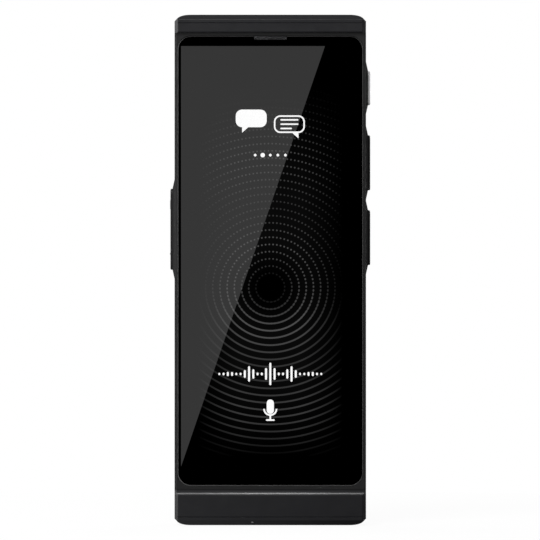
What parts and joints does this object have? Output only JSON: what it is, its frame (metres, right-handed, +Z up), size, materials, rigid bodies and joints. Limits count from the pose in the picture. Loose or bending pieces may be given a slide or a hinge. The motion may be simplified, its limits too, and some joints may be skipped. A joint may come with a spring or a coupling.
{
  "type": "handheld translator",
  "caption": "Slim upright pocket translator: black body with raised end caps, tall glass screen, side keys, rear camera window and a charging socket below.",
  "frame": {"origin": "centre of the bottom of the body, at mid depth", "axes": "+Z up along the body to the earpiece, +X to the viewer's right when facing the screen, -Y out of the screen, +Y out of the back cover"},
  "size_m": [0.0557, 0.013, 0.1418],
  "materials": {
    "frame_black": "fine satin texture",
    "cap_black": "satin moulded",
    "cover_black": "soft-touch satin",
    "tray_black": "satin",
    "key_black": "satin",
    "key_silver": "fine anodised",
    "front_glass": "polished",
    "print_black": "printed on glass",
    "adhesive": "foam tape",
    "screen": "display picture under glass",
    "ribbon_amber": "polyimide film",
    "steel": "rolled sheet",
    "mesh_steel": "woven mesh",
    "part_black": "moulded",
    "board_green": "solder resist",
    "chip_black": "moulded package",
    "connector_tan": "moulded",
    "screw_steel": "zinc plated",
    "card_white": "printed card",
    "lens_black": "polished",
    "window_glass": "polished dark",
    "trim_grey": "anodised dark",
    "flash_yellow": "phosphor",
    "clear_guide": "clear moulded",
    "pouch_foil": "foil pouch",
    "antenna_copper": "printed copper",
    "contact_gold": "gold plated",
    "coax_black": "jacket",
    "boot_rubber": "moulded rubber",
    "dust_mesh": "woven mesh"
  },
  "bodies": {
    "housing": {"front_frame": "frame_black", "top_cap": "cap_black", "bottom_cap": "cap_black", "back_cover": "cover_black", "back_cover_tape": "adhesive", "cover_glass": "front_glass", "glass_ink_border": "print_black", "glass_tape": "adhesive", "display_panel": "screen", "display_foam": "adhesive", "display_ribbon": "ribbon_amber", "mid_plate": "steel", "earpiece_mesh": "mesh_steel", "earpiece_receiver": "part_black", "key_switches_right": "steel", "key_switches_left": "steel", "key_flex_right": "ribbon_amber", "key_flex_left": "ribbon_amber", "key_bracket_right": "steel", "key_bracket_left": "steel", "main_board": "board_green", "processor_chip": "chip_black", "memory_chip": "chip_black", "radio_chip": "chip_black", "processor_shield": "steel", "radio_shield": "steel", "board_connectors": "connector_tan", "board_screws": "screw_steel", "sim_connector": "steel", "camera_module": "part_black", "camera_window": "window_glass", "camera_trim": "trim_grey", "flash_led": "flash_yellow", "flash_light_guide": "clear_guide", "battery_cell": "pouch_foil", "battery_adhesive": "adhesive", "battery_protection_board": "board_green", "battery_ribbon": "ribbon_amber", "sub_board": "board_green", "board_link_ribbon": "ribbon_amber", "usb_c_shell": "steel", "usb_c_tongue": "part_black", "microphones": "steel", "speaker_enclosure": "part_black", "speaker_driver": "part_black", "speaker_gasket": "adhesive", "speaker_mesh": "dust_mesh", "vibration_motor_case": "steel", "motor_boot": "boot_rubber", "antenna_coax": "coax_black", "antennas": "antenna_copper", "cap_screws": "screw_steel"},
    "power_button": {"power_button": "key_silver"},
    "talk_button_upper": {"talk_button_upper": "key_black"},
    "talk_button_lower": {"talk_button_lower": "key_black"},
    "volume_rocker": {"volume_rocker": "key_black"},
    "sim_tray": {"sim_tray": "tray_black", "sim_card": "card_white"},
    "camera_lens": {"camera_lens_barrel": "lens_black"},
    "vibration_weight": {"vibration_motor_weight": "steel"}
  },
  "joints": [
    {"name": "power_button_press", "type": "slide", "parent": "housing", "child": "power_button", "axis": [-1, 0, 0], "range_m": [0, 0.00035], "stiffness_N_per_m": 600, "springref_m": -0.002},
    {"name": "talk_button_upper_press", "type": "slide", "parent": "housing", "child": "talk_button_upper", "axis": [-1, 0, 0], "range_m": [0, 0.00035], "stiffness_N_per_m": 600, "springref_m": -0.002},
    {"name": "talk_button_lower_press", "type": "slide", "parent": "housing", "child": "talk_button_lower", "axis": [-1, 0, 0], "range_m": [0, 0.00035], "stiffness_N_per_m": 600, "springref_m": -0.002},
    {"name": "volume_rocker_tilt", "type": "hinge", "parent": "housing", "child": "volume_rocker", "pos_m": [-0.02435, 0.00042, 0.08224], "axis": [0, 1, 0], "range_deg": [-1.8, 1.8], "stiffness_Nm_per_rad": 0.1},
    {"name": "sim_tray_slide", "type": "slide", "parent": "housing", "child": "sim_tray", "axis": [-1, 0, 0], "range_m": [0, 0.017]},
    {"name": "camera_lens_focus", "type": "slide", "parent": "housing", "child": "camera_lens", "axis": [0, 1, 0], "range_m": [0, 0.0003], "stiffness_N_per_m": 60, "springref_m": -0.0005},
    {"name": "vibration_weight_spin", "type": "hinge", "parent": "housing", "child": "vibration_weight", "pos_m": [0.018, 0.0004, 0.026], "axis": [1, 0, 0], "continuous": true}
  ]
}
